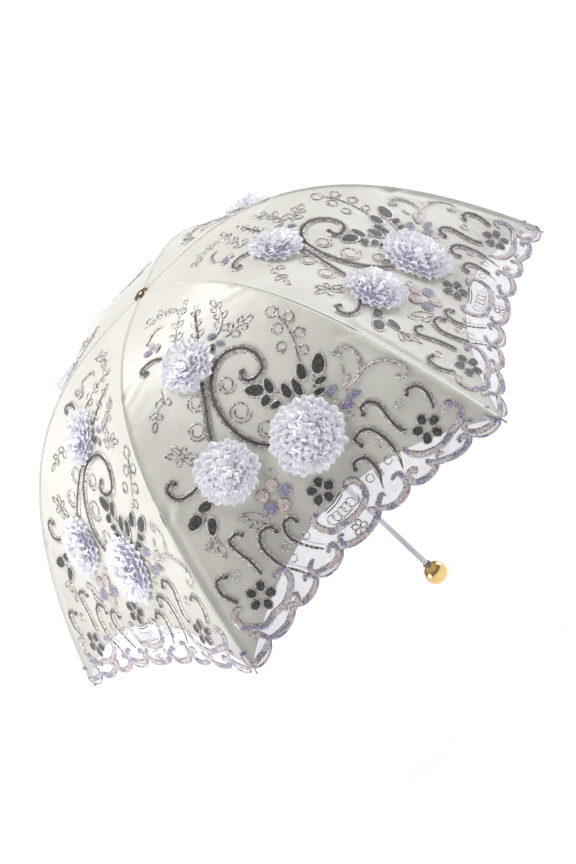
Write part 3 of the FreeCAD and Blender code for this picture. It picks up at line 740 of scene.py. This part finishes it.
bandScrolls = {
    # wide satin-stitch scrolls of the border: width, tones in turn, line
    "rightS": (9, "pink purple purple purple grey pink purple purple grey grey pink pink purple", [
        (168, 399), (169, 397), (177, 396), (183, 400), (181, 404), (173, 407), (158, 408), (136, 409),
        (116, 406), (105, 401), (102, 396)]),
    "leftS": (9, "purple grey grey pink pink purple purple purple pink pink", [
        (-115, 396), (-109, 395), (-101, 396), (-101, 402), (-111, 406), (-126, 409), (-145, 409),
        (-163, 410), (-175, 406), (-183, 402), (-182, 396), (-174, 394), (-167, 396)]),
    "medallion": (9, "purple pink pink purple purple grey pink pink "
                     "pink purple grey purple pink pink grey purple", [
        (22, 390), (21, 388), (30, 388), (36, 391), (36, 396), (31, 400), (23, 402), (13, 403), (0, 403),
        (-13, 402), (-25, 401), (-32, 397), (-35, 393), (-34, 390), (-29, 388), (-24, 389)]),
    "lobeFarRight": (8, "purple pink grey purple pink pink grey purple", [
        (185, 411), (178, 410), (173, 410), (170, 413), (180, 417), (194, 419), (207, 420)]),
    "tipRight": (6, "pink grey purple", [
        (199, 413), (199, 416), (204, 419), (207, 421)]),
    "lobeRight3": (8, "purple grey purple purple purple pink grey grey purple", [
        (157, 415), (156, 413), (161, 413), (166, 415), (160, 418), (152, 419), (137, 419), (119, 416),
        (116, 412), (111, 410), (115, 409)]),
    "knobRight3": (6, "purple pink", [
        (122, 412), (126, 411), (132, 412), (131, 413)]),
    "lobeRight2": (8, "pink pink pink grey purple purple grey purple", [
        (90, 409), (94, 409), (96, 408), (89, 407), (83, 409), (85, 414), (99, 417), (109, 417),
        (119, 416)]),
    "curlRight2": (6, "pink pink purple", [
        (117, 410), (112, 411), (114, 413), (109, 415), (99, 415)]),
    "lobeRight1": (8, "purple purple grey pink pink purple grey purple purple", [
        (66, 404), (71, 403), (78, 404), (78, 407), (74, 411), (61, 413), (47, 413), (34, 411), (33, 408),
        (45, 405), (49, 407)]),
    "lobeMiddle": (8, "pink purple grey purple pink pink pink purple purple", [
        (20, 407), (23, 406), (27, 408), (25, 411), (13, 414), (2, 415), (-11, 414), (-23, 411),
        (-29, 408), (-24, 405), (-19, 406)]),
    "lobeLeft1": (8, "purple purple pink pink purple grey purple", [
        (-48, 407), (-43, 405), (-36, 406), (-41, 411), (-52, 412), (-65, 411), (-77, 409), (-77, 406),
        (-71, 404), (-65, 404)]),
    "lobeLeft2": (8, "purple pink purple pink grey purple purple", [
        (-115, 409), (-109, 410), (-116, 414), (-105, 416), (-90, 415), (-81, 412), (-82, 408),
        (-90, 407), (-91, 409)]),
    "lobeLeft3": (8, "purple purple purple pink pink grey", [
        (-171, 416), (-158, 417), (-143, 417), (-127, 416), (-119, 413), (-128, 411), (-133, 412)]),
    "lobeFarLeft": (8, "pink purple grey purple pink", [
        (-211, 418), (-209, 419), (-199, 419), (-183, 418), (-172, 416), (-174, 412), (-182, 409),
        (-186, 409)]),
}
borderTrims = {
    "coil": {"turns": 5, "points": 40, "start": 19, "length": 38, "radius": 397.2, "reach": (7, 2.9),
             "bow": 3},
    "medallionBar": [(14, 389.5), (-1, 391), (-17, 391)],
    "rightStems": [[(65, 392), (63, 396), (57, 400), (52, 404)],
                   [(94, 395), (92, 398), (89, 401), (85, 404)]],
    "leftStems": [[(-66, 391), (-58, 398), (-48, 404)], [(-97, 396), (-90, 401), (-84, 406)]],
    "rings": [(50, 395), (80, 395), (-52, 392), (-82, 396)],
    "star": (0, 409),
}
seamTape = {"halfWidth": 0.0019, "gap": 0.004, "shorter": 0.006, "edge": 0.0003, "crown": 0.0007}


def insideHem(points, inset=1.9):
    return [(across, min(radius, float(hemRadius(across / 1000)) * 1000 - inset))
            for across, radius in points]


def drawScrolls(art):
    for width, line in cordScrolls.values():
        pipedCord(art, line, width)
    for line in leafStems:
        stroke(art, line, 0.0030, 0.0008, "glitter", across=4)
    for line in silverScrolls.values():
        pipedCord(art, line, 3.6, "pale", "fine")


def drawLeaves(art):
    for centre, length, width, turn in leaves:
        leaf(art, centre, length * 1.14, width * 1.18, turn, "leaf", edge="pale")
    for centre, reach, turn in darkBlossoms:
        fivePetals(art, centre, reach, 15, 11.5, ["leaf"] * 5, turn=turn)
    fivePetals(art, (-46, 364), 14.5, 18, 15, ["pink", "purple", "pink", "purple", "pink"], turn=-60)
    for petal in coloured["petals"]:
        leaf(art, *petal)
    leaf(art, (-205, 412), 9, 6, 30, "purple", edge=None)


def drawTwigs(art):
    # fine twigs of looped thread above and beside the blossoms
    for twig in twigs["aboveBlossoms"]:
        sprig(art, *twig)
    stroke(art, twigs["topArc"], 0.0050, 0.0012, "glitter", across=4)
    sprig(art, *twigs["nearTop"])
    for petal in coloured["topBud"]:
        leaf(art, *petal)
    sprig(art, *twigs["leftOfBlossom"])
    stroke(art, twigs["curlStem"], 0.0032, 0.0009, "glitter", across=4)
    for centre, radius, start in curls["besideStem"]:
        ringAt(art, centre, radius, turns=1.25, inner=0.6, start=start, width=0.0023)
    for root, tips, width in looseLoops:
        for tip in tips:
            leafLoop(art, root, tip, width)
    for centre, radius in curls["insideScroll"]:
        ringAt(art, centre, radius, turns=1.6, inner=0.42, start=40, width=0.0021)
    for centre in curls["besideHooks"]:
        ringAt(art, centre, 7, turns=1.4, inner=0.45, start=200, tone="pale", width=0.0019)


def coilLine():
    coil = borderTrims["coil"]
    across, along = coil["reach"]
    line = []
    for i in range(coil["points"] + 1):
        share = i / coil["points"]
        angle = 2 * pi * coil["turns"] * share
        line.append((coil["start"] - coil["length"] * share + across * cos(angle),
                     coil["radius"] + along * sin(angle) - coil["bow"] * (share - 0.5) ** 2))
    return line


def drawBorder(art):
    for width, toneNames, line in bandScrolls.values():
        stroke(art, insideHem(line), width / 1000, 0.0012, toneNames.split(), edge="glitter", across=8,
               step=0.0026, slim=0.6)
    joints = lobeJoints()
    for left, right in zip(joints, joints[1:]):
        line = [(across * 1000, hemRadius(across) * 1000 - 0.6) for across in np.linspace(left, right, 9)]
        stroke(art, line, 0.0032, 0.0011, ["grey", "purple", "pink", "grey", "purple"], across=4, slim=0.9)
    stroke(art, coilLine(), 0.0015, 0.0005, "fine", across=2, step=0.002, slim=0.8)
    for drift in (-0.8, 0.8):
        line = [(across, radius + drift) for across, radius in borderTrims["medallionBar"]]
        stroke(art, line, 0.0016, 0.0006, "dark", across=2)
    for line in borderTrims["rightStems"]:
        stroke(art, line, 0.0018, 0.0007, "dark", across=2)
        for drift in (-3.4, 3.4):    # a fine thread on each side, closing in along the stem
            beside = [(across + drift * (1 - i / 3), radius) for i, (across, radius) in enumerate(line)]
            stroke(art, beside, 0.0013, 0.0005, "fine", across=2)
    for line in borderTrims["leftStems"]:
        stroke(art, line, 0.0034, 0.0010, ["dark", "glitter"] * 6, across=4)
        stroke(art, [(across + 5, radius - 1) for across, radius in line], 0.0013, 0.0005, "pink", across=2)
    for centre in borderTrims["rings"]:
        ringAt(art, centre, 5, turns=1.1)
    star = lay([borderTrims["star"]])[0]
    for turn in range(10, 370, 72):
        loopAt(art, star, turn, 10, 7)


def bindSeams(art):
    # tape along both seams; the half of it that lies on this panel
    tape = seamTape
    for side in (-1, 1):
        def place(along, inward):
            length = rimRadius - canopy["seamHole"] - tape["shorter"]
            radius = canopy["seamHole"] + tape["gap"] + length * along
            flat = np.column_stack((side * (radius / 2 - inward * tape["halfWidth"]), runAt(radius),
                                    tape["edge"] + tape["crown"] * np.cos(inward * pi / 2)))
            return flat, np.column_stack((runAt(radius), inward * tape["halfWidth"]))
        for vert in shapeGrid(art, 170, 2, place)[0]:
            for face in vert.link_faces:
                face.material_index = tones.index("seam")


def embroiderPanel():
    art = bmesh.new()
    art.loops.layers.uv.new("cloth")
    for draw in (drawScrolls, drawLeaves, drawTwigs, drawBorder, bindSeams):
        draw(art)
    return art


def cutAway(shape, place, direction):
    parts = shape.verts[:] + shape.edges[:] + shape.faces[:]
    bmesh.ops.bisect_plane(shape, geom=parts, plane_co=place, plane_no=direction, clear_inner=True)


def panelArea(art, side, section):
    # the part of the flat artwork that goes with one rib and section
    part = art.copy()
    start, end = (float(runAt(radius)) for radius in sections[section])
    cutAway(part, (0, 0, 0), (side, 0, 0))
    if section != "top":
        cutAway(part, (0, start, 0), (0, 1, 0))
    if section != "outer":
        cutAway(part, (0, end, 0), (0, -1, 0))
    mesh = bpy.data.meshes.new("flatArt")
    part.to_mesh(mesh)
    part.free()
    return mesh


artwork = embroiderPanel()
flatArt = {(side, section): panelArea(artwork, side, section) for side in (-1, 1) for section in sections}
artwork.free()
print("panel embroidered")


def overDome(flatMeshes, name, materials):
    # lays flat meshes over their panels and joins them into one piece
    shape = bmesh.new()
    done = 0
    for panel, mesh in flatMeshes:
        shape.from_mesh(mesh)
        shape.verts.ensure_lookup_table()
        fresh = shape.verts[done:]
        if fresh:
            places = overPanel(panel, [vert.co for vert in fresh])
            for vert, point in zip(fresh, places):
                vert.co = point
        done = len(shape.verts)
    return pieceFrom(shape, name, materials)


stitched = {}
for rib in range(1, canopy["ribs"] + 1):
    for section in sections:
        pair = [(panel, flatArt[side, section]) for side, panel in panelsBeside(rib)]
        stitched[rib, section] = overDome(pair, "embroidery_%s_%d" % (section, rib), threadMaterials)
print("embroidery laid over the dome")


# ribbon blossoms: rings of crimped petals, flat outside and standing up towards the middle

blossoms = {
    "places": {"A": ((-13, 229), 37), "B": ((-66, 330), 41), "C": ((33, 352), 48.5)},   # millimetres
    # share of the radius reached by the tips, petal length, height of the root, rise of the tip, petal width
    "rings": [(1.00, 18, 1.0, 2.4, 12.5), (0.84, 17, 2.4, 3.4, 13.0), (0.67, 16, 3.8, 4.4, 14.0),
              (0.50, 14, 5.0, 5.8, 15.0), (0.33, 12, 6.0, 7.6, 16.0), (0.16, 9, 6.6, 9.0, 14.0)],
    "overlap": 1.15,
    "shadeBaseReach": 0.00072,    # reach of the dark base under the petals, a painted shade, in metres for each millimetre of radius
    "clearOfCloth": 0.0010,
}


def addPetal(shape, centre, turn, tip, length, base, rise, width, curl, phase, ruffle):
    # one crimped petal, widest 0.62 of the way to its tip, hollow across and creased down its middle
    def place(down, aside):
        fromMiddle = aside * 2 - 1
        swell = 0.42 + 0.58 * np.sin(np.clip(down / 0.62, 0, 1) * pi / 2)
        swell *= np.sqrt(np.clip(1 - (np.clip(down - 0.62, 0, 1) / 0.42) ** 2, 0.02, 1))
        out = tip - length * (1 - down) - length * 0.10 * fromMiddle * fromMiddle * down
        wide = width / 2 * fromMiddle * swell
        high = base + rise * down ** 1.3 + 0.0022 * fromMiddle * fromMiddle * down * (1 + ruffle)
        high += curl * np.clip(down - 0.7, 0, 1) * 3.2
        high += ruffle * 0.0022 * np.sin(fromMiddle * 4.2 + phase) * down
        out += ruffle * 0.0026 * np.sin(fromMiddle * 5 + phase * 1.7)
        wide += ruffle * 0.0018 * np.sin(down * 7 + phase)
        high -= 0.0007 * bell(fromMiddle, 0.16) * np.sin(down * pi)
        flat = np.column_stack((centre[0] + out * cos(turn) - wide * sin(turn),
                                centre[1] + out * sin(turn) + wide * cos(turn),
                                np.maximum(high, blossoms["clearOfCloth"])))
        return flat, np.column_stack((down, aside))
    shapeGrid(shape, 6, 6, place)


def addShadeBase(shape, centre, reach):
    # low dark base under the petals, a painted shade that fills the gaps between them
    def place(first, second):
        x, y = first * 2 - 1, second * 2 - 1
        roundX, roundY = x * np.sqrt(1 - y * y / 2), y * np.sqrt(1 - x * x / 2)
        dome = np.sqrt(np.clip(1 - roundX ** 2 - roundY ** 2, 0, 1))
        flat = np.column_stack((centre[0] + roundX * reach, centre[1] + roundY * reach,
                                0.0008 + 0.008 * dome))
        # the cloth marks lie near a petal root, so the base takes the dark root colour as painted shade
        return flat, np.column_stack((0.1 + 0 * roundX, 0.5 + 0.3 * roundY))
    shapeGrid(shape, 10, 10, place)


def makeBlossom(letter, seed):
    spot, size = blossoms["places"][letter]
    centre = lay([spot])[0]
    chance = Random(seed)
    jitter = chance.uniform
    shape = bmesh.new()
    shape.loops.layers.uv.new("cloth")
    for share, length, base, rise, width in blossoms["rings"]:
        tip = size * share
        count = max(4, round(2 * pi * tip / width * blossoms["overlap"]))
        spin = jitter(0, 2 * pi)
        ruffle = 0.15 + 1.4 * (1 - share) ** 1.3
        for i in range(count):
            addPetal(shape, centre, spin + 2 * pi * (i + jitter(-0.15, 0.15)) / count,
                     tip * jitter(0.94, 1.05) / 1000, length * jitter(0.88, 1.12) / 1000,
                     (base + jitter(-0.7, 0.7)) / 1000, rise * jitter(0.6, 1.3) / 1000,
                     width * jitter(0.85, 1.25) / 1000, jitter(-0.0006, 0.0014), jitter(0, 2 * pi),
                     ruffle * jitter(0.7, 1.3))
    addShadeBase(shape, centre, size * blossoms["shadeBaseReach"])
    mesh = bpy.data.meshes.new("flatBlossom")
    shape.to_mesh(mesh)
    shape.free()
    return mesh


def partedAtKnee(mesh):
    # a blossom that lies across the outer knee is cut there, so that each part folds with its own section
    parts = {}
    for section, direction in (("middle", -1), ("outer", 1)):
        part = bmesh.new()
        part.from_mesh(mesh)
        cutAway(part, (0, float(runAt(canopy["outerKnee"])), 0), (0, direction, 0))
        if part.faces:
            parts[section] = bpy.data.meshes.new("flatBlossom")
            part.to_mesh(parts[section])
        part.free()
    return parts


blossomPieces = {}
for letter in blossoms["places"]:
    across = blossoms["places"][letter][0][0]
    for panel in range(1, canopy["ribs"] + 1):
        flatBlossom = makeBlossom(letter, 100 * panel + ord(letter))
        rib = panel if across < 0 else panel % canopy["ribs"] + 1
        for section, part in partedAtKnee(flatBlossom).items():
            piece = overDome([(panel, part)], "blossom_%s_%s_%d" % (letter, section, panel), [ribbon])
            blossomPieces.setdefault((rib, section), []).append(piece)
print("blossoms made")

# riding the cloth and its trims on the rib sections
for (rib, section), (cloth, area, flat) in clothPieces.items():
    trims = [stitched[rib, section]] + blossomPieces.get((rib, section), [])
    for piece in [cloth] + trims:
        ridesOn(piece, rib, section)
for rib, (net, area, flat) in tullePieces.items():
    ridesOn(net, rib, "outer")


# floor, light and camera

floor = {"size": 60, "colour": (0.24, 0.24, 0.24), "glow": 0.86}
ground = bmesh.new()
bmesh.ops.create_grid(ground, x_segments=4, y_segments=4, size=floor["size"] / 2,
                      matrix=Matrix.Translation((0, 0, cadLow.z)))
floorMaterial = newMaterial("paleFloor", floor["colour"], 0.9, sockets={
    "Emission Color": (1, 1, 1, 1), "Emission Strength": floor["glow"], "Specular IOR Level": 0.1})[0]
pieceFrom(ground, "floor", [floorMaterial])

# the studio wall is bright near the floor and darker overhead
world = bpy.data.worlds.new("studio")
world.use_nodes = True
sky = world.node_tree
wall = addNode(sky, "SeparateXYZ")
sky.links.new(addNode(sky, "TexCoord").outputs["Generated"], wall.inputs["Vector"])
sky.links.new(ramp(sky, wall.outputs["Z"], [(0.0, (0.95, 0.95, 0.95)), (0.12, (0.75, 0.75, 0.75)),
                                            (0.32, (0.22, 0.22, 0.22)), (1.0, (0.12, 0.12, 0.12))]),
              sky.nodes["Background"].inputs["Color"])
bpy.context.scene.world = world
bpy.context.scene.view_settings.view_transform = "Standard"

middle = (cadLow + cadHigh) / 2


def areaLight(name, direction, distance, size, power, colour=(1, 1, 1)):
    lamp = bpy.data.lights.new(name, "AREA")
    lamp.shape = "DISK"
    lamp.size = size
    lamp.energy = power
    lamp.color = colour
    holder = bpy.data.objects.new(name, lamp)
    holder.location = middle + Vector(direction).normalized() * distance
    holder.rotation_mode = "QUATERNION"
    holder.rotation_quaternion = Vector(direction).to_track_quat("Z", "Y")
    bpy.context.scene.collection.objects.link(holder)


areaLight("topLight", (0.0, 0.30, 1.0), 6.5, 4.0, 440, (1.0, 0.995, 0.985))
areaLight("leftLight", (-1.0, -0.28, 0.25), 4.0, 2.2, 88, (1.0, 1.0, 0.985))
areaLight("rightLight", (1.0, 0.5, 0.22), 4.0, 2.4, 54, (0.97, 0.98, 1.0))

view = {
    "azimuth": 3.73, "elevation": 20.25, "roll": 46.64, "distance": 3.42, "lens": 108.2,
    "shift": (-0.0286, 0.0280), "targetHeight": domeTop - domeDepth,
}
azimuth, elevation, roll = (radians(view[key]) for key in ("azimuth", "elevation", "roll"))
back = Vector((sin(azimuth) * cos(elevation), -cos(azimuth) * cos(elevation), sin(elevation)))
right = Vector((cos(azimuth), sin(azimuth), 0))
up = back.cross(right)
cameraX = cos(roll) * right - sin(roll) * up
cameraY = sin(roll) * right + cos(roll) * up
lens = bpy.data.cameras.new("studioCamera")
lens.lens = view["lens"]
lens.sensor_width = 36
lens.shift_x, lens.shift_y = view["shift"]
lens.clip_start, lens.clip_end = 0.1, 200
holder = bpy.data.objects.new("studioCamera", lens)
turned = Matrix((cameraX, cameraY, back)).transposed().to_4x4()
place = Vector((0, 0, view["targetHeight"])) + back * view["distance"]
holder.matrix_world = Matrix.Translation(place) @ turned
bpy.context.scene.collection.objects.link(holder)
bpy.context.scene.camera = holder

print("scene ready")
